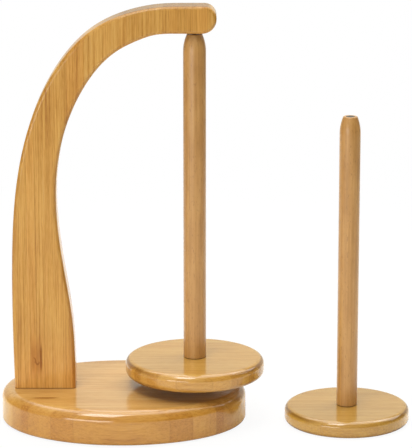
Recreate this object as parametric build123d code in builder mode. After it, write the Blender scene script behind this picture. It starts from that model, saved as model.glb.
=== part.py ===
"""Yarn ball holder with a magnetic pendulum spindle and a spare spindle.

Millimetres, +Z up. The origin is the centre of the underside of the base's mat, on the table.
"""

import os

from build123d import *

# Fits and overrun
wood_gap = 0.05  # glued wood joints, between the two walls
metal_gap = 0.05  # magnets, screws and their holes
ball_gap = 0.05  # the ball in its bore, and under it
cut_overrun = 1.0  # how far a cut runs past the face it starts from
pilot_overrun = 1.0  # how far a pilot bore runs past a screw's point

# Base, an oval slab
base_width = 175.0
base_depth = 134.0
base_thickness = 24.6
base_top_round = 7.3
base_bottom_round = 2.8
mat_inset = 12.5  # from the base's rim in to the mat's
mat_thickness = 1.6
mat_recess_depth = 1.0
mat_edge_gap = 0.2
mat_edge_round = 0.3

# Arm, a flat board that stands on the base and reaches over it
arm_thickness = 20.0
arm_foot_width = 43.5
arm_foot_inset = 9.6  # from the base's rim to the arm's outer foot corner
arm_height = 276.2  # above the base
arm_reach = 144.3  # from the outer foot corner to the end of the nose
arm_edge_round = 2.6
nose_depth = 19.3
nose_top_round = 8.5
nose_bottom_round = 10.0

# Outer edge of the arm, from foot to nose, as shares of the reach and of the height
outer_edge_shares = (
    (-0.0055, 0.3178),
    (0.0172, 0.5173),
    (0.09, 0.6949),
    (0.2373, 0.8526),
    (0.4298, 0.9504),
    (0.7226, 0.998),
)
outer_flat_share = 0.861  # where the outer edge becomes level

# Inner edge of the arm, from foot to nose, as the same shares
inner_edge_shares = (
    (0.2898, 0.1824),
    (0.2468, 0.3318),
    (0.2173, 0.5344),
    (0.2551, 0.6663),
    (0.3737, 0.8052),
    (0.5308, 0.8896),
    (0.6495, 0.9188),
)
inner_flat_share = 0.795  # where the inner edge becomes level
foot_lean_share = 0.025  # how far the outer edge leans out at the foot, over its rise

# Arm screws, from below through the base
arm_screw_spacing = 24.0
arm_screw_length = 45.0
arm_screw_radius = 2.2
arm_screw_head_radius = 4.4

# Pivot in the nose: a magnet in a blind bore, and a ball under it
spindle_setback = 15.4  # from the end of the nose to the spindle's axis
ball_radius = 3.0
ball_drop = 1.1  # how far the ball stands out below the nose
arm_magnet_length = 6.0

# Magnets in the spindles' tips
tip_magnet_radius = 3.1
tip_magnet_length = 5.0

# Hanging spindle
hover_gap = 8.1  # from the base up to the disc
disc_diameter = 99.3
disc_thickness = 13.0
disc_top_round = 4.5
disc_bottom_round = 4.4
rod_diameter = 16.1
rod_tip_radius = 5.3
rod_taper_length = 12.5

# Both spindles' rods
tip_edge_round = 0.8
rod_foot_chamfer = 0.5
tenon_step = 2.2  # from the rod's wall in to the wall of the tenon at its foot
socket_depth = 6.0

# Spare spindle, which stands on the table beside the base
spare_length = 223.0
spare_disc_diameter = 89.2
spare_disc_thickness = 11.9
spare_disc_top_round = 4.0
spare_disc_bottom_round = 3.2
spare_rod_diameter = 14.8
spare_tip_radius = 5.0
spare_taper_length = 12.0
spare_x = 160.2
spare_y = -4.7

# Spindle screws, from below through the disc into the rod
disc_screw_length = 30.0
disc_screw_radius = 1.9
disc_screw_head_radius = 3.8

# All the wood screws
head_sink = 0.3  # how far a head lies below the wood
head_angle = 90.0
head_land_share = 0.1  # straight rim of a head, of its radius
point_share = 2.2  # length of the point, of the shank's radius
drive_length_share = 1.1  # cross recess, of the head's radius
drive_width_share = 0.28
drive_depth_share = 0.45

# Places that follow from the sizes above
mat_half_width = base_width / 2 - mat_inset
mat_half_depth = base_depth / 2 - mat_inset
base_floor = mat_thickness - mat_recess_depth
base_top = base_floor + base_thickness
arm_back = arm_foot_inset - base_width / 2
arm_end = arm_back + arm_reach
arm_top = base_top + arm_height
nose_floor = arm_top - nose_depth
foot_middle = arm_back + arm_foot_width / 2
spindle_x = arm_end - spindle_setback
ball_z = nose_floor - ball_drop + ball_radius
tip_z = ball_z - ball_radius - ball_gap
disc_floor = base_top + hover_gap
spindle_length = tip_z - disc_floor
arm_screw_xs = (foot_middle - arm_screw_spacing / 2, foot_middle + arm_screw_spacing / 2)
arm_pilot_depth = mat_thickness + head_sink + arm_screw_length - base_top + pilot_overrun
disc_pilot_depth = head_sink + disc_screw_length + pilot_overrun  # from the disc's underside
up = (0, 0, 1)
down = (0, 0, -1)


def upright_plane(x, y, z):
    """A vertical plane through a point, with its own X to the right and its own Y up."""
    return Plane(origin=(x, y, z), x_dir=(1, 0, 0), z_dir=(0, -1, 0))


def arm_point(shares):
    """A point of the arm's outline, from its shares of the reach and of the height."""
    x_share, z_share = shares
    return (arm_back + x_share * arm_reach, base_top + z_share * arm_height)


def countersink_radius(head_radius):
    """Mouth of a countersink that lets a head lie below the wood with its gap."""
    return head_radius + head_radius * head_land_share + head_sink + metal_gap


def make_screws(name, xs, y, wood_floor, length, shank_radius, head_radius):
    """Countersunk wood screws that point up, with their heads just inside the wood."""
    head_floor = wood_floor + head_sink
    land = head_radius * head_land_share
    cone_top = land + head_radius - shank_radius
    point_start = length - shank_radius * point_share
    with BuildPart() as screws:
        for x in xs:
            with BuildSketch(upright_plane(x, y, head_floor)):
                with BuildLine():
                    Polyline(
                        (0, 0),
                        (head_radius - land, 0),
                        (head_radius, land),
                        (shank_radius, cone_top),
                        (shank_radius, point_start),
                        (0, length),
                        close=True,
                    )
                make_face()
            revolve(axis=Axis((x, y, head_floor), up))
        with BuildSketch(Plane.XY.offset(head_floor)):
            with Locations(*[(x, y) for x in xs]):
                Rectangle(head_radius * drive_length_share, head_radius * drive_width_share)
                Rectangle(head_radius * drive_width_share, head_radius * drive_length_share)
        extrude(amount=head_radius * drive_depth_share, mode=Mode.SUBTRACT)
    screws.part.label = name
    return screws.part


def make_cylinder(name, x, y, z, radius, length):
    """A plain round magnet that stands on its lower face."""
    with BuildPart() as magnet:
        with BuildSketch(Plane.XY.offset(z)):
            with Locations((x, y)):
                Circle(radius)
        extrude(amount=length)
    magnet.part.label = name
    return magnet.part


def make_disc(name, x, y, floor, radius, thickness, top_round, bottom_round, tenon_radius):
    """A spindle's disc, with a socket for the rod's tenon on top and a screw hole from below."""
    with BuildPart() as disc:
        with BuildSketch(Plane.XY.offset(floor)):
            with Locations((x, y)):
                Circle(radius)
        extrude(amount=thickness)
        fillet(disc.edges().sort_by(Axis.Z)[-1], radius=top_round)
        fillet(disc.edges().sort_by(Axis.Z)[0], radius=bottom_round)
        with BuildSketch(Plane.XY.offset(floor + thickness - socket_depth)):
            with Locations((x, y)):
                Circle(tenon_radius + wood_gap)
        extrude(amount=socket_depth + cut_overrun, mode=Mode.SUBTRACT)
        with Locations(Plane(origin=(x, y, floor), z_dir=down)):
            CounterSinkHole(
                disc_screw_radius + metal_gap,
                countersink_radius(disc_screw_head_radius),
                counter_sink_angle=head_angle,
            )
    disc.part.label = name
    return disc.part


def make_rod(name, x, y, floor, top, pilot_depth, radius, tip_radius, taper_length):
    """A rod with a tenon and a tapered tip, bored for the magnet above and the screw below."""
    length = top - floor
    with BuildPart() as rod:
        with BuildSketch(upright_plane(x, y, floor)) as profile:
            with BuildLine():
                foot = Polyline(
                    (0, 0),
                    (radius - tenon_step, 0),
                    (radius - tenon_step, socket_depth),
                    (radius - rod_foot_chamfer, socket_depth),
                    (radius, socket_depth + rod_foot_chamfer),
                    (radius, length - taper_length),
                )
                taper = TangentArc(foot @ 1, (tip_radius, length), tangent=foot % 1)
                Polyline(taper @ 1, (0, length), foot @ 0)
            make_face()
            tip_corner = profile.vertices().group_by(Axis.Y)[-1].sort_by(Axis.X)[-1]
            fillet(tip_corner, radius=tip_edge_round)
        revolve(axis=Axis((x, y, floor), up))
        with BuildSketch(Plane.XY.offset(top - tip_magnet_length)):
            with Locations((x, y)):
                Circle(tip_magnet_radius + metal_gap)
        extrude(amount=tip_magnet_length + cut_overrun, mode=Mode.SUBTRACT)
        with BuildSketch(Plane.XY.offset(floor)):
            with Locations((x, y)):
                Circle(disc_screw_radius + metal_gap)
        extrude(amount=pilot_depth, mode=Mode.SUBTRACT)
    rod.part.label = name
    return rod.part


# Base: a thick oval slab, recessed below for the mat and drilled for the arm's screws
with BuildPart() as base:
    with BuildSketch(Plane.XY.offset(base_floor)):
        Ellipse(base_width / 2, base_depth / 2)
    extrude(amount=base_thickness)
    fillet(base.edges().sort_by(Axis.Z)[-1], radius=base_top_round)
    fillet(base.edges().sort_by(Axis.Z)[0], radius=base_bottom_round)
    with BuildSketch(Plane.XY.offset(base_floor - cut_overrun)):
        Ellipse(mat_half_width + mat_edge_gap, mat_half_depth + mat_edge_gap)
    extrude(amount=cut_overrun + mat_recess_depth, mode=Mode.SUBTRACT)
    with Locations(*[Plane(origin=(x, 0, mat_thickness), z_dir=down) for x in arm_screw_xs]):
        CounterSinkHole(
            arm_screw_radius + metal_gap,
            countersink_radius(arm_screw_head_radius),
            counter_sink_angle=head_angle,
        )
base.part.label = "base"

# Mat: a thin non-slip oval in the base's recess, over the screw heads
with BuildPart() as base_pad:
    with BuildSketch(Plane.XY):
        Ellipse(mat_half_width, mat_half_depth)
    extrude(amount=mat_thickness)
    fillet(base_pad.edges().group_by(Axis.Z)[0], radius=mat_edge_round)
base_pad.part.label = "base_pad"

# Arm: one board cut to a curve, its face edges rounded, bored at the foot and in the nose
outer_points = [arm_point(shares) for shares in outer_edge_shares]
inner_points = [arm_point(shares) for shares in inner_edge_shares]
outer_foot = (arm_back, base_top)
inner_foot = (arm_back + arm_foot_width, base_top)
outer_flat = (arm_back + outer_flat_share * arm_reach, arm_top)
inner_flat = (arm_back + inner_flat_share * arm_reach, nose_floor)
leaning = (-foot_lean_share, 1)
plumb = (0, 1)
level = (1, 0)
with BuildPart() as arm:
    with BuildSketch(Plane.XZ) as arm_outline:
        with BuildLine():
            Spline(outer_foot, *outer_points, outer_flat, tangents=(leaning, level))
            Polyline(outer_flat, (arm_end, arm_top), (arm_end, nose_floor), inner_flat)
            Spline(inner_foot, *inner_points, inner_flat, tangents=(plumb, level))
            Line(inner_foot, outer_foot)
        make_face()
        end_corners = arm_outline.vertices().group_by(Axis.X)[-1].sort_by(Axis.Y)
        fillet(end_corners[-1], radius=nose_top_round)
        end_corners = arm_outline.vertices().filter_by(
            lambda v: v.Y < nose_floor + nose_bottom_round / 2
        ).sort_by(Axis.X)
        fillet(end_corners[-1], radius=nose_bottom_round)
    extrude(amount=arm_thickness / 2, both=True)
    face_edges = arm.faces().sort_by(Axis.Y)[0].edges() + arm.faces().sort_by(Axis.Y)[-1].edges()
    fillet(face_edges.filter_by(lambda e: e.center().Z > base_top + arm_edge_round), arm_edge_round)
    with BuildSketch(Plane.XY.offset(base_top)):
        with Locations(*[(x, 0) for x in arm_screw_xs]):
            Circle(arm_screw_radius + metal_gap)
    extrude(amount=arm_pilot_depth, mode=Mode.SUBTRACT)
    with BuildSketch(Plane.XY.offset(nose_floor - cut_overrun)):
        with Locations((spindle_x, 0)):
            Circle(ball_radius + ball_gap)
    extrude(amount=cut_overrun + ball_radius * 2 - ball_drop + arm_magnet_length, mode=Mode.SUBTRACT)
arm.part.label = "arm"

# Ball: free to turn at the mouth of the nose's bore, against the magnet above it
with BuildPart() as pivot_ball:
    with BuildSketch(upright_plane(spindle_x, 0, ball_z)):
        with BuildLine():
            CenterArc((0, 0), ball_radius, -90, 180)
            Line((0, ball_radius), (0, -ball_radius))
        make_face()
    revolve(axis=Axis((spindle_x, 0, ball_z), up))
pivot_ball.part.label = "pivot_ball"

arm_screws = make_screws(
    "arm_screws",
    arm_screw_xs,
    0,
    mat_thickness,
    arm_screw_length,
    arm_screw_radius,
    arm_screw_head_radius,
)
arm_magnet = make_cylinder(
    "arm_magnet", spindle_x, 0, ball_z + ball_radius, ball_radius, arm_magnet_length
)

# The two spindles: name, place, floor, tip height, disc and rod
spindles = (
    (
        "spindle",
        spindle_x,
        0,
        disc_floor,
        tip_z,
        (disc_diameter / 2, disc_thickness, disc_top_round, disc_bottom_round),
        (rod_diameter / 2, rod_tip_radius, rod_taper_length),
    ),
    (
        "spare",
        spare_x,
        spare_y,
        0,
        spare_length,
        (spare_disc_diameter / 2, spare_disc_thickness, spare_disc_top_round, spare_disc_bottom_round),
        (spare_rod_diameter / 2, spare_tip_radius, spare_taper_length),
    ),
)
pieces = [base.part, base_pad.part, arm.part, arm_screws, arm_magnet, pivot_ball.part]
for name, x, y, floor, top, disc_sizes, rod_sizes in spindles:
    under_socket = disc_sizes[1] - socket_depth
    socket_floor = floor + under_socket
    pilot_depth = disc_pilot_depth - under_socket
    pieces += [
        make_disc(f"{name}_disc", x, y, floor, *disc_sizes, rod_sizes[0] - tenon_step),
        make_rod(f"{name}_rod", x, y, socket_floor, top, pilot_depth, *rod_sizes),
        make_cylinder(
            f"{name}_magnet", x, y, top - tip_magnet_length, tip_magnet_radius, tip_magnet_length
        ),
        make_screws(
            f"{name}_screw",
            [x],
            y,
            floor,
            disc_screw_length,
            disc_screw_radius,
            disc_screw_head_radius,
        ),
    ]

os.makedirs("parts", exist_ok=True)
for piece in pieces:
    export_step(piece, f"parts/{piece.label}.step")
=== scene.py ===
import math
from types import SimpleNamespace

import bpy
from mathutils import Euler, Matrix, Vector


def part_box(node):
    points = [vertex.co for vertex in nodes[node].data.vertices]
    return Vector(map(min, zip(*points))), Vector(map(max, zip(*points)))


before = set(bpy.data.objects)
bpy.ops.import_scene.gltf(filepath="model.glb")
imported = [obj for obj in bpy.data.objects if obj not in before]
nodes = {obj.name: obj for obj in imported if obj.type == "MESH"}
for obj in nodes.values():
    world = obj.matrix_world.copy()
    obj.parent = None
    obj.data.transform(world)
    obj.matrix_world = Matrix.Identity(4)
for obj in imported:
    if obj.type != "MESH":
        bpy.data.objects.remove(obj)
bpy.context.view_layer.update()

X, Y, Z = range(3)


# Camera, found from the outlines of the base, the discs and the arm

CAMERA_PLACE = (0.060, -1.900, 0.614)
CAMERA_DOWN = math.radians(13.89)
CAMERA_TURN = math.radians(0.03)
FOCAL_PIXELS = 2759
PICTURE_HEIGHT = 448
SENSOR = 36.0
CLIP_START = 0.01
CLIP_END = 50.0


# Soft boxes: azimuth to the left of the camera, elevation, distance, width, height and brightness

LAMPS = (
    ("overhead_box", 29, 64, 4.0, 1.50, 1.70, 8.5),
    ("low_left_box", 28, 4, 1.3, 0.80, 0.27, 5.6),
    ("right_back_box", -116, 42, 1.5, 0.90, 0.90, 2.6),
)
LAMP_AIM = (0.05, 0.0, 0.08)


# Room: each lit place has a brightness, and a range over which it fades in

ROOM_DARK = 0.05
ROOM_GLOW = 0.50
GLOW_WAY = (-0.55, -0.72, 0.42)
GLOW_RANGE = (0.2, 1.0)
CEILING = 3.2
CEILING_WAY = (0.0, 0.28, 0.96)
CEILING_RANGE = (0.74, 0.96)
BACKDROP = 0.80
BACKDROP_COLOUR = (1.0, 0.98, 0.84, 1)
BACKDROP_SIDES = (0.50, 0.85)
BACKDROP_TOP = (0.45, 0.75)
WHITE = (1, 1, 1, 1)


# Floor: how much of it the camera sees as white, near the object and far from it

FLOOR_RADIUS = 0.85
FLOOR_CORNERS = 96
FLOOR_DROP = 0.0002
FLOOR_MIDDLE = (0.06, 0.0, 0.0)
FLOOR_COLOUR = (0.83, 0.815, 0.76, 1)
FLOOR_LIFT = 0.92
FLOOR_NEAR = 0.35
FLOOR_FAR = 0.75


# Shader building blocks

COLOUR_MIX_INPUTS = (0, 6, 7)
COLOUR_MIX_RESULT = 2


def add(tree, kind, inputs=None, **settings):
    """Adds a shader node. An input that is a socket is linked, any other value is set."""
    made = tree.nodes.new("ShaderNode" + kind)
    for name, value in settings.items():
        setattr(made, name, value)
    for name, value in (inputs or {}).items():
        if isinstance(value, bpy.types.NodeSocket):
            tree.links.new(value, made.inputs[name])
        else:
            made.inputs[name].default_value = value
    return made


def calc(tree, operation, first, second=0.0, third=0.0):
    """One Math node."""
    return add(tree, "Math", {0: first, 1: second, 2: third}, operation=operation).outputs[0]


def times(tree, first, second):
    """One number times another."""
    return calc(tree, "MULTIPLY", first, second)


def swing(tree, value, share, base):
    """Adds a share of how far a noise is from its middle."""
    return calc(tree, "MULTIPLY_ADD", calc(tree, "SUBTRACT", value, 0.5), share, base)


def fade(tree, value, start, end, low=0.0, high=1.0):
    """Goes smoothly from low to high while the value goes from start to end."""
    limits = {"Value": value, "From Min": start, "From Max": end, "To Min": low, "To Max": high}
    return add(tree, "MapRange", limits, interpolation_type="SMOOTHSTEP").outputs["Result"]


def vector(tree, operation, first, second):
    """One VectorMath node that gives a vector."""
    return add(tree, "VectorMath", {0: first, 1: second}, operation=operation).outputs[0]


def length(tree, first):
    """The length of a vector."""
    return add(tree, "VectorMath", {0: first}, operation="LENGTH").outputs["Value"]


def share_along(tree, first, way):
    """How far a vector goes along a way."""
    return add(tree, "VectorMath", {0: first, 1: way}, operation="DOT_PRODUCT").outputs["Value"]


def parts_of(tree, first):
    """The three parts of a vector."""
    return add(tree, "SeparateXYZ", {0: first}).outputs


def joined(tree, x, y, z=0.0):
    """A vector from its parts."""
    return add(tree, "CombineXYZ", {0: x, 1: y, 2: z}).outputs[0]


def mix(tree, factor, first, second, mode="MIX"):
    """Mixes two colours."""
    made = add(tree, "Mix", data_type="RGBA", blend_type=mode)
    for place, value in zip(COLOUR_MIX_INPUTS, (factor, first, second)):
        if isinstance(value, bpy.types.NodeSocket):
            tree.links.new(value, made.inputs[place])
        else:
            made.inputs[place].default_value = value
    return made.outputs[COLOUR_MIX_RESULT]


def tinted(tree, colour, tint):
    """A colour times a tint."""
    return mix(tree, 1.0, colour, tint, "MULTIPLY")


def ramp(tree, value, stops):
    """Colours along a value, given as (place, colour)."""
    made = add(tree, "ValToRGB", {"Fac": value})
    elements = made.color_ramp.elements
    while len(elements) < len(stops):
        elements.new(0.5)
    for element, (place, colour) in zip(elements, stops):
        element.position = place
        element.color = (*colour, 1)
    return made.outputs["Color"]


def noise(tree, place, scales, shift=None, detail=2.0, roughness=0.5):
    """Noise from about 0.3 to 0.7. The scales are its cycles a metre along the three axes."""
    place = vector(tree, "MULTIPLY", place, scales)
    if shift is not None:
        place = vector(tree, "ADD", place, shift)
    inputs = {"Vector": place, "Scale": 1.0, "Detail": detail, "Roughness": roughness}
    return add(tree, "TexNoise", inputs).outputs["Fac"]


def grain_noise(tree, place, along, scales, shift=None, detail=2.0, roughness=0.5):
    """Noise along the grain. The scales are its cycles a metre across the grain and along it."""
    three_scales = [scales[0]] * 3
    three_scales[along] = scales[1]
    return noise(tree, place, three_scales, shift, detail, roughness)


def new_material(name):
    """An empty material with its tree, its surface shader and the place in the piece."""
    made = bpy.data.materials.new(name)
    made.use_nodes = True
    tree = made.node_tree
    tree.nodes.clear()
    shader = add(tree, "BsdfPrincipled")
    output = add(tree, "OutputMaterial")
    tree.links.new(shader.outputs[0], output.inputs["Surface"])
    place = add(tree, "TexCoord").outputs["Object"]
    return made, tree, shader, place


def surface_normal(tree):
    """The three parts of the normal of the piece's surface."""
    return parts_of(tree, add(tree, "TexCoord").outputs["Normal"])


def bump(tree, height, depth, strength):
    """A bump node from a height of 0 to 1 and the depth in metres."""
    return add(tree, "Bump", {"Height": height, "Distance": depth, "Strength": strength})


def connect(tree, shader, colour, roughness, normal):
    """Gives the shader its colour, roughness and normal."""
    tree.links.new(colour, shader.inputs["Base Color"])
    tree.links.new(roughness, shader.inputs["Roughness"])
    tree.links.new(normal, shader.inputs["Normal"])


def worn_edge(tree, axis):
    """1 on an edge that is rounded between a face across the axis and one along it, and 0 on flat faces."""
    part = surface_normal(tree)[axis]
    square = times(tree, part, part)
    rest = calc(tree, "SUBTRACT", 1.0, square)
    return times(tree, times(tree, square, rest), 4.0)


# Lacquer over wood. A finish is its roughness and its index of refraction, and a relief is its depth in
# metres and its strength.

GLOSS = (0.13, 1.6)
SATIN = (0.20, 1.36)
ROD_FINISH = (0.30, 1.5)
LACQUER_WAVES = (90.0, 90.0, 90.0)
LACQUER_RELIEF = (0.00006, 0.5)
SHINE_UNDER_LACQUER = 0.05
HANDLED_TINT = (0.72, 0.68, 0.55, 1)
BARE_COLOUR = (0.74, 0.47, 0.20, 1)
BARE_CLOUD = (0.56, 0.68)
BARE_SHARE = 0.14
# Painted contact shadow: the dark colour of the line where one piece stands on another
CONTACT_SHADOW_COLOUR = (0.10, 0.035, 0.008, 1)


def lacquer(tree, shader, place, roughness, index):
    """A clear coat with the slight waves of a sprayed finish. Gives back its bump node."""
    waves = noise(tree, place, LACQUER_WAVES, detail=1.0)
    coat = bump(tree, waves, *LACQUER_RELIEF)
    tree.links.new(coat.outputs["Normal"], shader.inputs["Coat Normal"])
    shader.inputs["Specular IOR Level"].default_value = SHINE_UNDER_LACQUER
    shader.inputs["Coat Weight"].default_value = 1.0
    shader.inputs["Coat Roughness"].default_value = roughness
    shader.inputs["Coat IOR"].default_value = index
    return coat


def worn(tree, colour, edge, cloud, handled):
    """Edges darkened by hands and lacquer, with a few paler places where they are rubbed through."""
    dark = tinted(tree, colour, HANDLED_TINT)
    colour = mix(tree, times(tree, edge, handled), colour, dark)
    bare = times(tree, edge, fade(tree, cloud, *BARE_CLOUD, 0.0, BARE_SHARE))
    return mix(tree, bare, colour, BARE_COLOUR)


def painted_contact_shadow(tree, colour, height, foot, reach, share):
    """A painted contact shadow: a dark line where a piece stands on another, from the height of its foot up.
    """
    return mix(tree, fade(tree, height, foot, foot + reach, share, 0.0), colour, CONTACT_SHADOW_COLOUR)


def soft_rim(tree, height, normal, above, below, low, high):
    """A normal that turns from the rim of a slab to its flat faces within a reach above and one below,
    as a thick coat of lacquer does. Low and high are the heights of the two faces."""
    rise = calc(tree, "DIVIDE", calc(tree, "SUBTRACT", height, high - above), above)
    fall = calc(tree, "DIVIDE", calc(tree, "SUBTRACT", low + below, height), below)
    rise = calc(tree, "MINIMUM", calc(tree, "MAXIMUM", rise, 0.0), 1.0)
    fall = calc(tree, "MINIMUM", calc(tree, "MAXIMUM", fall, 0.0), 1.0)
    upward = calc(tree, "SUBTRACT", rise, fall)
    level = calc(tree, "SQRT", calc(tree, "SUBTRACT", 1.0, times(tree, upward, upward)))
    side = add(tree, "VectorMath", {0: joined(tree, normal[X], normal[Y])}, operation="NORMALIZE").outputs[0]
    side = add(tree, "VectorMath", {0: side, "Scale": level}, operation="SCALE").outputs[0]
    whole = vector(tree, "ADD", side, joined(tree, 0.0, 0.0, upward))
    settings = {"vector_type": "NORMAL", "convert_from": "OBJECT", "convert_to": "WORLD"}
    return add(tree, "VectorTransform", {0: whole}, **settings).outputs[0]


# Bamboo, glued up from strips

BAMBOO_STOPS = (
    (0.00, (0.37, 0.150, 0.024)),
    (0.25, (0.48, 0.220, 0.038)),
    (0.50, (0.58, 0.290, 0.058)),
    (0.75, (0.65, 0.350, 0.080)),
    (1.00, (0.71, 0.415, 0.115)),
)
WARM_TINT = (1.04, 0.90, 0.78, 1)
STREAK_COLOUR = (0.36, 0.135, 0.018, 1)
KNUCKLE_COLOUR = (0.26, 0.100, 0.010, 1)
GLUE_COLOUR = (0.30, 0.12, 0.020, 1)
# Darker end grain on rounded rims, partly real end grain and partly painted shade
END_GRAIN_AND_SHADE_TINT = (0.40, 0.31, 0.18, 1)
# Painted light: the tint that makes the arm paler near its foot
PAINTED_FOOT_LIGHT_TINT = (1.18, 1.15, 1.22, 1)

# Tints of each piece's broad face, of its rim and of the end grain in the rim. They are partly the real
# difference of face, edge and end grain and partly painted light: painted sheen on the broad faces and
# painted shade on the rims.
ARM_GRAIN_AND_LIGHT_TINTS = ((0.98, 1.00, 1.04, 1), (1.00, 1.00, 1.00, 1), (0.47, 0.42, 0.28, 1))
BASE_GRAIN_AND_LIGHT_TINTS = ((0.94, 1.03, 1.36, 1), (0.85, 0.77, 0.52, 1), (1.05, 1.09, 0.62, 1))
DISC_GRAIN_AND_LIGHT_TINTS = ((0.81, 0.88, 0.88, 1), (0.90, 0.90, 0.80, 1), (0.98, 1.02, 0.80, 1))
SPARE_GRAIN_AND_LIGHT_TINTS = ((0.70, 0.77, 0.76, 1), (0.82, 0.90, 0.80, 1), (0.90, 0.98, 0.80, 1))

# Noises in cycles a metre across the grain and along it, and how much each changes the tone
FIBRE = (950.0, 14.0)
FIBRE_SHARE = 2.1
BROAD = (240.0, 9.0)
BROAD_SHARE = 0.8
CLOUD = (70.0, 22.0)
CLOUD_SHARE = 0.40
PORES = (3200.0, 150.0)
PORE_SHARE = 0.80

# Strips: how uneven their widths are, the noise by which they waver and its share of a strip, how far their
# noises are shifted, and how they differ in colour
STRIP_RANDOMNESS = 0.85
WAVER = (3.0, 9.0)
WAVER_SHARE = 0.2
STRIP_SHIFT = (37.0, 53.0, 71.0)
RIM_SPREAD = 0.34
FACE_SPREAD = 0.19
WARM_CHANCE = (0.3, 1.0)
WARM_SHARE = 0.45
DARK_FIBRE = (0.57, 0.68)
DARK_FIBRE_SHARE = 0.34

# Glue lines: their width in shares of a strip, and how dark they are
GLUE_WIDTH = 0.045
RIM_GLUE = 0.22
FACE_GLUE = 0.26

# Knuckles: their spacing in metres, their waver and widths in shares of it, and how dark they are
KNUCKLE_SPACING = 0.27
KNUCKLE_WAVER = 0.03
RING_WIDTH = 0.009
RING_SHARE = 0.14
STAIN_WIDTH = 0.045
STAIN_SHARE = 0.22
STAINED_FIBRE = (0.42, 0.62)

# Where a rim turns into the broad face or into end grain, in squares of one part of the normal
RIM_TO_FACE = (0.2, 0.8)
RIM_TO_END = (0.60, 0.95)
# Where a rounded rim turns to end grain and is darkened, partly as real end grain and partly as painted shade
END_GRAIN_AND_SHADE_RANGE = (0.08, 0.40)

# The arm's foot, in metres: how high the painted light reaches that makes it paler, and its painted contact
# shadow, given as its height and how dark it is.
PAINTED_FOOT_LIGHT_HEIGHT = 0.045
ARM_CONTACT_SHADOW = (0.0009, 0.85)

# The bare wood under the lacquer, with its roughness in dark places and in pale ones
FIBRE_RELIEF = 0.6
PORE_RELIEF = 0.4
GLUE_RELIEF = 0.5
BAMBOO_RELIEF = (0.00010, 0.6)
TONE_RANGE = (0.2, 0.8)
BAMBOO_ROUGHNESS = (0.55, 0.42)


def bamboo(name, across, along, face, strip, seed, contrast, grain_and_light_tints, finish, handled, end_grain_and_shade=0.0,
           rounding=None, eye=None, streak=None, foot=None):
    """Lacquered bamboo with strips side by side along one axis, their grain along another and a broad face
    across the third. Handled is how dark the rounded edges are, and burnt how dark their end grain is, partly
    as darker end grain and partly as painted shade.
    The rounding is how far the rim of a slab is softened above and below, with its lowest and highest
    height. An eye and a streak are dark marks at (across, along, half width, half length), and a foot is
    the height where the piece stands, from which painted light makes it paler and a painted contact shadow
    line runs up, all in metres."""
    made, tree, shader, place = new_material(name)
    parts = parts_of(tree, place)
    normal = surface_normal(tree)
    flat = times(tree, normal[face], normal[face])
    end = times(tree, normal[along], normal[along])
    own, gap = strip_rows(tree, place, parts[across], along, strip, seed)
    chances = add(tree, "SeparateColor", {0: own}).outputs
    grain = grain_noises(tree, place, along, own)

    tone = strip_tone(tree, chances[0], grain, flat, contrast)
    colour = strip_colour(tree, tone, chances[1], contrast)
    # Painted light by facing: painted sheen on broad faces and painted shade on rims, over the real tones of
    # end grain
    colour = tinted(tree, colour, grain_and_light_tint(tree, flat, end, *grain_and_light_tints))
    dark = fade(tree, grain.fibre, *DARK_FIBRE, 0.0, DARK_FIBRE_SHARE * contrast)
    colour = mix(tree, dark, colour, STREAK_COLOUR)
    glue = glue_lines(tree, gap, flat, contrast)
    colour = mix(tree, glue, colour, GLUE_COLOUR)
    knuckle = times(tree, knuckles(tree, parts[along], chances[2], grain, contrast), flat)
    colour = marked(tree, colour, parts[across], parts[along], grain, knuckle, eye, streak)
    colour = worn_and_shaded_edges(tree, colour, worn_edge(tree, face), grain.cloud, end, handled, end_grain_and_shade)
    # Painted light and shadow at the foot: a paler painted-light foot and a painted contact shadow where the
    # piece stands
    if foot is not None:
        colour = painted_foot_light_and_shadow(tree, colour, parts[Z], foot)

    relief = bump(tree, bamboo_relief(tree, grain, glue), *BAMBOO_RELIEF)
    coat = lacquer(tree, shader, place, *finish)
    if rounding is not None:
        softened = soft_rim(tree, parts[Z], normal, *rounding)
        tree.links.new(softened, relief.inputs["Normal"])
        tree.links.new(softened, coat.inputs["Normal"])
    roughness = fade(tree, tone, *TONE_RANGE, *BAMBOO_ROUGHNESS)
    connect(tree, shader, colour, roughness, relief.outputs["Normal"])
    return made


def strip_rows(tree, place, across, along, strip, seed):
    """Strips side by side: three chances that each strip has of its own, and the distance to its edge."""
    waver = grain_noise(tree, place, along, WAVER, detail=1.0)
    row = calc(tree, "MULTIPLY_ADD", across, 1.0 / strip, seed)
    row = calc(tree, "MULTIPLY_ADD", waver, WAVER_SHARE, row)
    split = {"W": row, "Scale": 1.0, "Randomness": STRIP_RANDOMNESS}
    own = add(tree, "TexVoronoi", split, voronoi_dimensions="1D")
    gap = add(tree, "TexVoronoi", split, voronoi_dimensions="1D", feature="DISTANCE_TO_EDGE")
    return own.outputs["Color"], gap.outputs["Distance"]


def grain_noises(tree, place, along, own):
    """Fibres, broad bands and pores that differ from strip to strip, and clouds that go across them."""
    shift = vector(tree, "MULTIPLY", own, STRIP_SHIFT)
    return SimpleNamespace(
        fibre=grain_noise(tree, place, along, FIBRE, shift, detail=3.0, roughness=0.6),
        broad=grain_noise(tree, place, along, BROAD, shift),
        cloud=grain_noise(tree, place, along, CLOUD),
        pores=grain_noise(tree, place, along, PORES, shift),
    )


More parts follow.
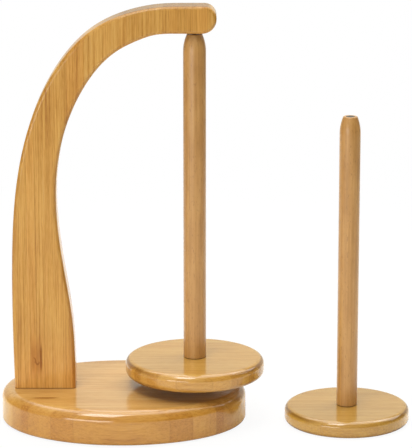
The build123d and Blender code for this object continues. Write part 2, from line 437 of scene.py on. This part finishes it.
def strip_tone(tree, chance, grain, flat, contrast):
    """How pale the wood is, around 0.5."""
    spread = fade(tree, flat, *RIM_TO_FACE, RIM_SPREAD, FACE_SPREAD * contrast)
    tone = swing(tree, chance, spread, 0.5)
    tone = swing(tree, grain.fibre, FIBRE_SHARE * contrast, tone)
    tone = swing(tree, grain.broad, BROAD_SHARE * contrast, tone)
    tone = swing(tree, grain.cloud, CLOUD_SHARE, tone)
    return swing(tree, grain.pores, PORE_SHARE, tone)


def strip_colour(tree, tone, chance, contrast):
    """The wood's colour at a tone, in some strips warmer than in others."""
    colour = ramp(tree, tone, BAMBOO_STOPS)
    warmth = fade(tree, chance, *WARM_CHANCE, 0.0, WARM_SHARE * contrast)
    return mix(tree, warmth, colour, tinted(tree, colour, WARM_TINT))


def grain_and_light_tint(tree, flat, end, face, rim, end_grain):
    """The tint of a place on the surface: on the broad face, on the rim or on its end grain. Partly real
    grain and partly painted light, with painted sheen on the broad face and painted shade on the rim.
    """
    rim_shade_and_grain_tint = mix(tree, fade(tree, end, *RIM_TO_END), rim, end_grain)
    return mix(tree, flat, rim_shade_and_grain_tint, face)


def glue_lines(tree, gap, flat, contrast):
    """Thin lines between the strips."""
    share = fade(tree, flat, *RIM_TO_FACE, RIM_GLUE, FACE_GLUE * contrast)
    return times(tree, fade(tree, gap, 0.0, GLUE_WIDTH, 1.0, 0.0), share)


def knuckles(tree, along, chance, grain, contrast):
    """Faint rings and stains where each strip has a knuckle."""
    reach = calc(tree, "MULTIPLY_ADD", along, 1.0 / KNUCKLE_SPACING, chance)
    away = calc(tree, "SUBTRACT", calc(tree, "FRACT", reach), 0.5)
    away = calc(tree, "ABSOLUTE", swing(tree, grain.broad, KNUCKLE_WAVER, away))
    ring = fade(tree, away, 0.0, RING_WIDTH, RING_SHARE * contrast, 0.0)
    stain = fade(tree, away, 0.0, STAIN_WIDTH, STAIN_SHARE * contrast, 0.0)
    stain = times(tree, stain, fade(tree, grain.fibre, *STAINED_FIBRE))
    return calc(tree, "MAXIMUM", ring, stain)


def marked(tree, colour, across, along, grain, knuckle, eye, streak):
    """Knuckles, with a dark eye and a streak where they are given."""
    if eye is not None:
        colour = eye_mark(tree, colour, across, along, grain, *eye)
    if streak is not None:
        mark = streak_mark(tree, across, along, grain.fibre, *streak)
        knuckle = calc(tree, "MAXIMUM", knuckle, mark)
    return mix(tree, knuckle, colour, KNUCKLE_COLOUR)


def worn_and_shaded_edges(tree, colour, edge, cloud, end, handled, end_grain_and_shade):
    """Rounded edges worn by hands, and darker where they cut through end grain, partly as darker end grain
    and partly as painted shade.
    """
    colour = worn(tree, colour, edge, cloud, handled)
    ends = times(tree, edge, fade(tree, end, *END_GRAIN_AND_SHADE_RANGE, 0.0, end_grain_and_shade))
    return mix(tree, ends, colour, tinted(tree, colour, END_GRAIN_AND_SHADE_TINT))


def painted_foot_light_and_shadow(tree, colour, height, foot):
    """Painted light and shadow: a foot painted paler, with a painted contact shadow line where it stands."""
    pale = fade(tree, height, foot, foot + PAINTED_FOOT_LIGHT_HEIGHT, 1.0, 0.0)
    colour = mix(tree, pale, colour, tinted(tree, colour, PAINTED_FOOT_LIGHT_TINT))
    return painted_contact_shadow(tree, colour, height, foot, *ARM_CONTACT_SHADOW)


def bamboo_relief(tree, grain, glue):
    """Fibres and pores that stand out a little, and glue lines that lie deeper."""
    relief = calc(tree, "MULTIPLY_ADD", grain.fibre, FIBRE_RELIEF, times(tree, grain.pores, PORE_RELIEF))
    return calc(tree, "SUBTRACT", relief, times(tree, glue, GLUE_RELIEF))


# Dark marks in the bamboo, with their lines and stains in shares of a mark's half width and half length

STAIN_TINT = (0.80, 0.64, 0.38, 1)
BUD_TINT = (0.46, 0.30, 0.06, 1)
EYE_WAVER = 0.6
EYE_SIDES = (0.88, 1.04)
EYE_STAIN_TOP = (0.6, 3.0)
EYE_STAIN_FOOT = (-2.0, -0.6)
EYE_STAIN_SHARE = 0.75
EYE_MIDDLE = 0.22
EYE_ENDS = (0.5, 1.5)
EYE_FIBRE = (0.48, 0.58)
EYE_FIBRE_SHARE = 0.30
EYE_LINE = (0.50, 0.66)
BUD_WAVER = 1.6
BUD_RADIUS = 0.85
BUD_LINE = (0.15, 0.60)
BUD_OPENING = (-0.6, 0.4)
BUD_SHARE = 0.85
STREAK_WAVER = 1.5
STREAK_EDGE = (0.6, 1.1)

# Buds: place across and along, half width, half length and the way towards which the arc is closed
LEFT_BUD = (-0.55, 0.0, 0.32, 0.22, (1.0, 0.3, 0.0))
RIGHT_BUD = (0.10, -0.12, 0.34, 0.26, (0.0, -1.0, 0.0))


def mark_place(tree, value, middle, half_size):
    """How far a place is from a mark's middle, in shares of its half size."""
    return calc(tree, "DIVIDE", calc(tree, "SUBTRACT", value, middle), half_size)


def eye_mark(tree, colour, across, along, grain, mark_across, mark_along, half_width, half_length):
    """A knuckle with its buds: a long reddish stain with streaks, a dark line along one side and two arcs."""
    side = mark_place(tree, across, mark_across, half_width)
    way = swing(tree, grain.broad, EYE_WAVER, mark_place(tree, along, mark_along, half_length))
    inside = fade(tree, calc(tree, "ABSOLUTE", side), *EYE_SIDES, 1.0, 0.0)
    stain = fade(tree, way, *EYE_STAIN_TOP, EYE_STAIN_SHARE, 0.0)
    stain = times(tree, stain, fade(tree, way, *EYE_STAIN_FOOT))
    stained = mix(tree, times(tree, inside, stain), colour, tinted(tree, colour, STAIN_TINT))

    far = calc(tree, "ABSOLUTE", calc(tree, "SUBTRACT", way, EYE_MIDDLE))
    streaks = fade(tree, grain.fibre, *EYE_FIBRE, 0.0, EYE_FIBRE_SHARE)
    line = fade(tree, side, *EYE_LINE)
    dark = times(tree, fade(tree, far, *EYE_ENDS, 1.0, 0.0), calc(tree, "MAXIMUM", streaks, line))
    for mark in (LEFT_BUD, RIGHT_BUD):
        dark = calc(tree, "MAXIMUM", dark, bud(tree, side, way, grain.broad, *mark))
    return mix(tree, times(tree, inside, dark), stained, tinted(tree, colour, BUD_TINT))


def bud(tree, side, way, wobble, across, along, width, height, closed):
    """A small dark arc: an uneven ring that is closed only towards one way, given across and along."""
    spot = joined(tree, mark_place(tree, side, across, width), mark_place(tree, way, along, height))
    away = calc(tree, "SUBTRACT", length(tree, spot), BUD_RADIUS)
    ring = calc(tree, "ABSOLUTE", swing(tree, wobble, BUD_WAVER, away))
    arc = fade(tree, share_along(tree, spot, closed), *BUD_OPENING)
    return times(tree, times(tree, fade(tree, ring, *BUD_LINE, 1.0, 0.0), arc), BUD_SHARE)


def streak_mark(tree, across, along, fibre, mark_across, mark_along, half_width, half_length):
    """One dark streak along the grain, pointed at both ends."""
    side = mark_place(tree, across, mark_across, half_width)
    way = mark_place(tree, along, mark_along, half_length)
    away = length(tree, joined(tree, swing(tree, fibre, STREAK_WAVER, side), way))
    return fade(tree, away, *STREAK_EDGE, 1.0, 0.0)


# Plain round hardwood of the rods, with noises in cycles a metre across the grain and along it

ROD_STOPS = (
    (0.0, (0.34, 0.160, 0.038)),
    (0.4, (0.47, 0.238, 0.067)),
    (0.7, (0.54, 0.290, 0.089)),
    (1.0, (0.60, 0.345, 0.122)),
)
FLECK_COLOUR = (0.27, 0.115, 0.035, 1)
ROD_GRAIN = (650.0, 16.0)
ROD_GRAIN_SHARE = 1.2
ROD_CLOUD = (110.0, 38.0)
ROD_CLOUD_SHARE = 0.9
ROD_FLECKS = (1300.0, 330.0)
FLECK_RANGE = (0.60, 0.76)
FLECK_SHARE = 0.45
FLECK_RELIEF = 0.4
ROD_HANDLED = 0.3
# Painted contact shadow at the rod's foot: its height in metres and how dark it is
ROD_CONTACT_SHADOW = (0.0008, 0.8)
ROD_ROUGHNESS = (0.56, 0.44)
ROD_RELIEF = (0.00008, 0.5)


def rod_wood(name, seed, foot):
    """Lacquered close-grained hardwood with soft clouds and short dark flecks along the grain.
    The foot is the height of the painted contact shadow where the rod stands on its disc."""
    made, tree, shader, place = new_material(name)
    shift = (seed, seed * 2.0, seed * 3.0)
    grain = grain_noise(tree, place, Z, ROD_GRAIN, shift, detail=3.0, roughness=0.65)
    cloud = grain_noise(tree, place, Z, ROD_CLOUD, shift, detail=3.0, roughness=0.6)
    fleck = grain_noise(tree, place, Z, ROD_FLECKS, shift, detail=1.0)
    tone = swing(tree, cloud, ROD_CLOUD_SHARE, swing(tree, grain, ROD_GRAIN_SHARE, 0.5))
    flecks = fade(tree, fleck, *FLECK_RANGE, 0.0, FLECK_SHARE)
    colour = mix(tree, flecks, ramp(tree, tone, ROD_STOPS), FLECK_COLOUR)
    colour = worn(tree, colour, worn_edge(tree, Z), cloud, ROD_HANDLED)
    # Painted contact shadow where the rod stands on its disc
    colour = painted_contact_shadow(tree, colour, parts_of(tree, place)[Z], foot, *ROD_CONTACT_SHADOW)
    height = calc(tree, "SUBTRACT", grain, times(tree, flecks, FLECK_RELIEF))
    relief = bump(tree, height, *ROD_RELIEF)
    lacquer(tree, shader, place, *ROD_FINISH)
    roughness = fade(tree, tone, *TONE_RANGE, *ROD_ROUGHNESS)
    connect(tree, shader, colour, roughness, relief.outputs["Normal"])
    return made


# Metal, magnets and the mat: noises in cycles a metre along the three axes, and colours at two noise values

NOISE_RANGE = (0.3, 0.7)
EPOXY_STOPS = ((0.3, (0.018, 0.014, 0.011)), (0.7, (0.045, 0.034, 0.026)))
EPOXY_SPECKLE = (2600.0, 2600.0, 2600.0)
EPOXY_ROUGHNESS = (0.28, 0.50)
EPOXY_RELIEF = (0.00002, 0.5)
RUBBED_SPECKLE = (0.45, 0.60)
RUBBED_COLOUR = (0.30, 0.28, 0.26, 1)
ZINC_STOPS = ((0.3, (0.40, 0.39, 0.36)), (0.7, (0.62, 0.62, 0.60)))
ZINC_RINGS = (300.0, 300.0, 5200.0)
ZINC_PATCHES = (500.0, 500.0, 500.0)
ZINC_ROUGHNESS = (0.42, 0.26)
ZINC_RELIEF = (0.00002, 0.4)
BALL_STOPS = ((0.3, (0.62, 0.62, 0.63)), (0.7, (0.78, 0.78, 0.79)))
BALL_RINGS = (150.0, 150.0, 9000.0)
BALL_ROUGHNESS = (0.10, 0.20)
BALL_RELIEF = (0.000004, 0.3)
FOAM_STOPS = ((0.0, (0.012, 0.012, 0.012)), (1.0, (0.035, 0.035, 0.034)))
FOAM_CELLS = (1500.0, 1500.0, 1500.0)
FOAM_CELL_RANGE = (0.0, 0.6)
FOAM_RELIEF = (0.00015, 0.8)
FOAM_ROUGHNESS = (0.78, 0.92)
DUST_CLOUDS = (45.0, 45.0, 45.0)
DUST_RANGE = (0.40, 0.75)
DUST_SHARE = 0.35
DUST_COLOUR = (0.14, 0.13, 0.12, 1)


def dark_epoxy(name):
    """The near-black epoxy coat of a magnet, rubbed at its edge."""
    made, tree, shader, place = new_material(name)
    speckle = noise(tree, place, EPOXY_SPECKLE, detail=3.0)
    rubbed = times(tree, worn_edge(tree, Z), fade(tree, speckle, *RUBBED_SPECKLE))
    colour = mix(tree, rubbed, ramp(tree, speckle, EPOXY_STOPS), RUBBED_COLOUR)
    relief = bump(tree, speckle, *EPOXY_RELIEF)
    roughness = fade(tree, speckle, *NOISE_RANGE, *EPOXY_ROUGHNESS)
    connect(tree, shader, colour, roughness, relief.outputs["Normal"])
    return made


def zinc_plate(name):
    """Zinc-plated steel with faint turning marks and dulled patches."""
    made, tree, shader, place = new_material(name)
    rings = noise(tree, place, ZINC_RINGS)
    patches = noise(tree, place, ZINC_PATCHES, detail=3.0)
    shader.inputs["Metallic"].default_value = 1.0
    relief = bump(tree, rings, *ZINC_RELIEF)
    roughness = fade(tree, patches, *NOISE_RANGE, *ZINC_ROUGHNESS)
    connect(tree, shader, ramp(tree, patches, ZINC_STOPS), roughness, relief.outputs["Normal"])
    return made


def bearing_steel(name):
    """Polished ball with a few rubbed rings from turning."""
    made, tree, shader, place = new_material(name)
    rings = noise(tree, place, BALL_RINGS)
    shader.inputs["Metallic"].default_value = 1.0
    relief = bump(tree, rings, *BALL_RELIEF)
    roughness = fade(tree, rings, *NOISE_RANGE, *BALL_ROUGHNESS)
    connect(tree, shader, ramp(tree, rings, BALL_STOPS), roughness, relief.outputs["Normal"])
    return made


def foam_rubber(name):
    """Matt black foam rubber with fine open cells, greyed by dust."""
    made, tree, shader, place = new_material(name)
    cell_place = vector(tree, "MULTIPLY", place, FOAM_CELLS)
    cells = add(tree, "TexVoronoi", {"Vector": cell_place, "Scale": 1.0})
    height = fade(tree, cells.outputs["Distance"], *FOAM_CELL_RANGE)
    dust = noise(tree, place, DUST_CLOUDS, detail=3.0)
    dusty = fade(tree, dust, *DUST_RANGE, 0.0, DUST_SHARE)
    colour = mix(tree, dusty, ramp(tree, height, FOAM_STOPS), DUST_COLOUR)
    relief = bump(tree, height, *FOAM_RELIEF)
    roughness = fade(tree, dust, *NOISE_RANGE, *FOAM_ROUGHNESS)
    connect(tree, shader, colour, roughness, relief.outputs["Normal"])
    return made


# Each bamboo piece: its axes, strips, colours, finish and marks, all lengths in metres

ARM_LOOK = {
    "across": X,
    "along": Z,
    "face": Y,
    "strip": 0.0060,
    "seed": 33.0,
    "contrast": 0.88,
    "grain_and_light_tints": ARM_GRAIN_AND_LIGHT_TINTS,
    "finish": SATIN,
    "handled": 0.5,
    "eye": (-0.0617, 0.0462, 0.0038, 0.0085),
}
SLAB_LOOK = {"across": Y, "along": X, "face": Z, "strip": 0.0060, "finish": GLOSS}
BASE_LOOK = {
    **SLAB_LOOK,
    "seed": 11.0,
    "contrast": 0.6,
    "grain_and_light_tints": BASE_GRAIN_AND_LIGHT_TINTS,
    "handled": 0.1,
    "streak": (-0.0325, -0.0545, 0.0022, 0.0110),
}
# The discs' rounded rims get darker end grain that is partly painted shade
DISC_LOOK = {**SLAB_LOOK, "seed": 23.0, "contrast": 0.5, "grain_and_light_tints": DISC_GRAIN_AND_LIGHT_TINTS, "handled": 0.2, "end_grain_and_shade": 0.8}
SPARE_LOOK = {**SLAB_LOOK, "seed": 41.0, "contrast": 0.4, "grain_and_light_tints": SPARE_GRAIN_AND_LIGHT_TINTS, "handled": 0.2, "end_grain_and_shade": 0.8}

# How far the lacquer softens a slab's rim, from the top down and from the underside up
BASE_SOFTENED = (0.0084, 0.0028)
DISC_SOFTENED = (0.0050, 0.0044)
SPARE_SOFTENED = (0.0045, 0.0032)


def heights(name):
    """The lowest and the highest height of a CAD node."""
    low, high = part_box(name)
    return low[Z], high[Z]


def dress():
    """Gives each CAD node its material."""
    base = heights("base")
    disc = heights("spindle_disc")
    spare = heights("spare_disc")
    steel = zinc_plate("zinc_plate")
    epoxy = dark_epoxy("dark_epoxy")
    looks = {
        "arm": bamboo("arm_bamboo", foot=base[1], **ARM_LOOK),
        "base": bamboo("base_bamboo", rounding=(*BASE_SOFTENED, *base), **BASE_LOOK),
        "spindle_disc": bamboo("disc_bamboo", rounding=(*DISC_SOFTENED, *disc), **DISC_LOOK),
        "spare_disc": bamboo("spare_bamboo", rounding=(*SPARE_SOFTENED, *spare), **SPARE_LOOK),
        "spindle_rod": rod_wood("spindle_wood", 5.0, disc[1]),
        "spare_rod": rod_wood("spare_wood", 9.0, spare[1]),
        "base_pad": foam_rubber("foam_rubber"),
        "arm_screws": steel,
        "spindle_screw": steel,
        "spare_screw": steel,
        "arm_magnet": epoxy,
        "spindle_magnet": epoxy,
        "spare_magnet": epoxy,
        "pivot_ball": bearing_steel("bearing_steel"),
    }
    for name, look in looks.items():
        slots = nodes[name].data.materials
        slots.clear()
        slots.append(look)


# Floor, room, lamps and camera

def make_floor():
    """A pale round floor that takes the shadow near the object and is seen as white far from it."""
    bpy.ops.mesh.primitive_circle_add(vertices=FLOOR_CORNERS, radius=FLOOR_RADIUS, fill_type="NGON")
    floor = bpy.context.object
    floor.name = "floor"
    floor.location.z = -FLOOR_DROP
    made = bpy.data.materials.new("pale_floor")
    made.use_nodes = True
    tree = made.node_tree
    tree.nodes.clear()
    place = add(tree, "TexCoord").outputs["Object"]
    seen = add(tree, "LightPath").outputs["Is Camera Ray"]
    far = add(tree, "VectorMath", {0: place, 1: FLOOR_MIDDLE}, operation="DISTANCE").outputs["Value"]
    share = times(tree, seen, fade(tree, far, FLOOR_NEAR, FLOOR_FAR, FLOOR_LIFT, 1.0))
    matt = add(tree, "BsdfDiffuse", {"Color": FLOOR_COLOUR}).outputs[0]
    white = add(tree, "Emission", {"Color": WHITE, "Strength": 1.0}).outputs[0]
    both = add(tree, "MixShader", {0: share, 1: matt, 2: white}).outputs[0]
    add(tree, "OutputMaterial", {"Surface": both})
    floor.data.materials.append(made)


def make_room():
    """White where the camera sees it. Otherwise a dark room with a soft glow from the front left,
    a slightly warm backdrop and a bright place in the ceiling, a little behind the object."""
    world = bpy.data.worlds.new("room")
    bpy.context.scene.world = world
    world.use_nodes = True
    tree = world.node_tree
    tree.nodes.clear()
    direction = add(tree, "TexCoord").outputs["Generated"]
    way = parts_of(tree, direction)
    backdrop = times(tree, fade(tree, way[Y], *BACKDROP_SIDES), fade(tree, way[Z], *BACKDROP_TOP, 1.0, 0.0))
    ceiling = fade(tree, share_along(tree, direction, CEILING_WAY), *CEILING_RANGE)
    room = fade(tree, share_along(tree, direction, GLOW_WAY), *GLOW_RANGE, ROOM_DARK, ROOM_GLOW)
    room = fade(tree, backdrop, 0.0, 1.0, room, BACKDROP)
    room = fade(tree, ceiling, 0.0, 1.0, room, CEILING)
    seen = add(tree, "LightPath").outputs["Is Camera Ray"]
    strength = calc(tree, "MAXIMUM", seen, room)
    warm = times(tree, backdrop, calc(tree, "SUBTRACT", 1.0, seen))
    colour = mix(tree, warm, WHITE, BACKDROP_COLOUR)
    light = add(tree, "Background", {"Color": colour, "Strength": strength}).outputs[0]
    add(tree, "OutputWorld", {"Surface": light})


def make_lamp(name, azimuth, elevation, distance, width, height, brightness):
    """A soft box that points at the object."""
    light = bpy.data.lights.new(name, "AREA")
    light.shape = "RECTANGLE"
    light.size = width
    light.size_y = height
    light.energy = math.pi * brightness * width * height
    lamp = bpy.data.objects.new(name, light)
    bpy.context.scene.collection.objects.link(lamp)
    turn = math.radians(azimuth)
    rise = math.radians(elevation)
    way = Vector((-math.sin(turn) * math.cos(rise), -math.cos(turn) * math.cos(rise), math.sin(rise)))
    lamp.location = Vector(LAMP_AIM) + way * distance
    lamp.rotation_euler = (-way).to_track_quat("-Z", "Y").to_euler()
    lamp.visible_camera = False


def make_camera():
    """The photograph's camera."""
    camera = bpy.data.objects.new("camera", bpy.data.cameras.new("camera"))
    bpy.context.scene.collection.objects.link(camera)
    camera.location = CAMERA_PLACE
    camera.rotation_euler = Euler((math.pi / 2 - CAMERA_DOWN, 0.0, CAMERA_TURN), "XYZ")
    camera.data.sensor_width = SENSOR
    camera.data.lens = SENSOR * FOCAL_PIXELS / PICTURE_HEIGHT
    camera.data.clip_start = CLIP_START
    camera.data.clip_end = CLIP_END
    bpy.context.scene.camera = camera


bpy.context.scene.view_settings.view_transform = "Standard"
dress()
make_floor()
make_room()
for lamp in LAMPS:
    make_lamp(*lamp)
make_camera()
